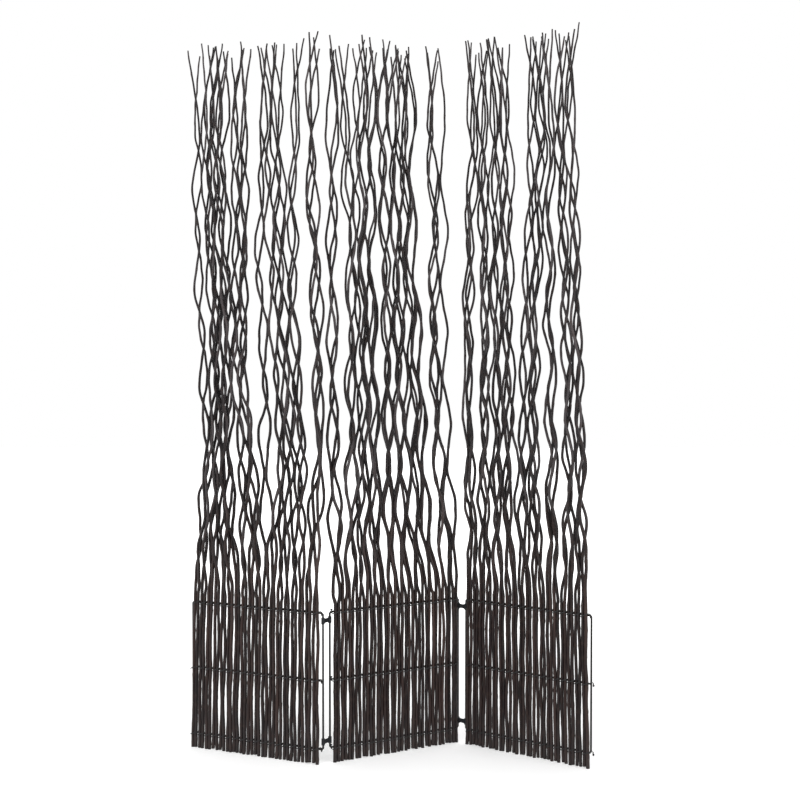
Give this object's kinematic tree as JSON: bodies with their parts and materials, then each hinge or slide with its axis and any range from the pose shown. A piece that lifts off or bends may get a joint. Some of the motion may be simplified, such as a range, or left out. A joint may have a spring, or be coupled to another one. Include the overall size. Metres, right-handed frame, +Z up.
{
  "type": "willow room divider",
  "caption": "Folding screen of three panels: tall dark wavy willow rods tied in rows to bent steel frames, joined by straps that let it stand in a zigzag.",
  "frame": {"origin": "centre of the bounding box, on the floor", "axes": "+Z up, +X across the screen to the right as seen from its front, -Y towards the viewer in front"},
  "size_m": [1.0104, 0.2963, 1.809],
  "materials": {
    "willow": "satin dark stain",
    "steel": "satin black",
    "cord": "matt",
    "strap": "matt"
  },
  "bodies": {
    "left_panel": {"left_bottom_lashing": "cord", "left_cross_bar": "steel", "left_frame": "steel", "left_middle_lashing": "cord", "left_top_lashing": "cord", "left_willow_rods_01": "willow", "left_willow_rods_02": "willow", "left_willow_rods_03": "willow", "left_willow_rods_04": "willow", "left_willow_rods_05": "willow", "left_willow_rods_06": "willow", "left_willow_rods_07": "willow", "left_willow_rods_08": "willow", "left_willow_rods_09": "willow", "left_willow_rods_10": "willow", "left_willow_rods_11": "willow", "left_willow_rods_12": "willow"},
    "left_hinge": {"left_hinge_straps": "strap"},
    "middle_panel": {"middle_bottom_lashing": "cord", "middle_cross_bar": "steel", "middle_frame": "steel", "middle_middle_lashing": "cord", "middle_top_lashing": "cord", "middle_willow_rods_01": "willow", "middle_willow_rods_02": "willow", "middle_willow_rods_03": "willow", "middle_willow_rods_04": "willow", "middle_willow_rods_05": "willow", "middle_willow_rods_06": "willow", "middle_willow_rods_07": "willow", "middle_willow_rods_08": "willow", "middle_willow_rods_09": "willow", "middle_willow_rods_10": "willow", "middle_willow_rods_11": "willow", "middle_willow_rods_12": "willow"},
    "right_panel": {"right_bottom_lashing": "cord", "right_cross_bar": "steel", "right_frame": "steel", "right_middle_lashing": "cord", "right_top_lashing": "cord", "right_willow_rods_01": "willow", "right_willow_rods_02": "willow", "right_willow_rods_03": "willow", "right_willow_rods_04": "willow", "right_willow_rods_05": "willow", "right_willow_rods_06": "willow", "right_willow_rods_07": "willow", "right_willow_rods_08": "willow", "right_willow_rods_09": "willow", "right_willow_rods_10": "willow", "right_willow_rods_11": "willow", "right_willow_rods_12": "willow"},
    "right_hinge": {"right_hinge_straps": "strap"}
  },
  "joints": [
    {"name": "left_hinge_middle_post", "type": "hinge", "parent": "middle_panel", "child": "left_hinge", "pos_m": [-0.1384, -0.0743, 0.205], "axis": [0, 0, 1], "range_deg": [-110, 8]},
    {"name": "left_hinge_left_post", "type": "hinge", "parent": "left_hinge", "child": "left_panel", "pos_m": [-0.15406, -0.09751, 0.205], "axis": [0, 0, 1], "range_deg": [-3, 85]},
    {"name": "right_hinge_middle_post", "type": "hinge", "parent": "middle_panel", "child": "right_hinge", "pos_m": [0.18493, 0.14378, 0.205], "axis": [0, 0, 1], "range_deg": [-3, 79]},
    {"name": "right_hinge_right_post", "type": "hinge", "parent": "right_hinge", "child": "right_panel", "pos_m": [0.20472, 0.12399, 0.205], "axis": [0, 0, 1], "range_deg": [-79, 6]}
  ]
}
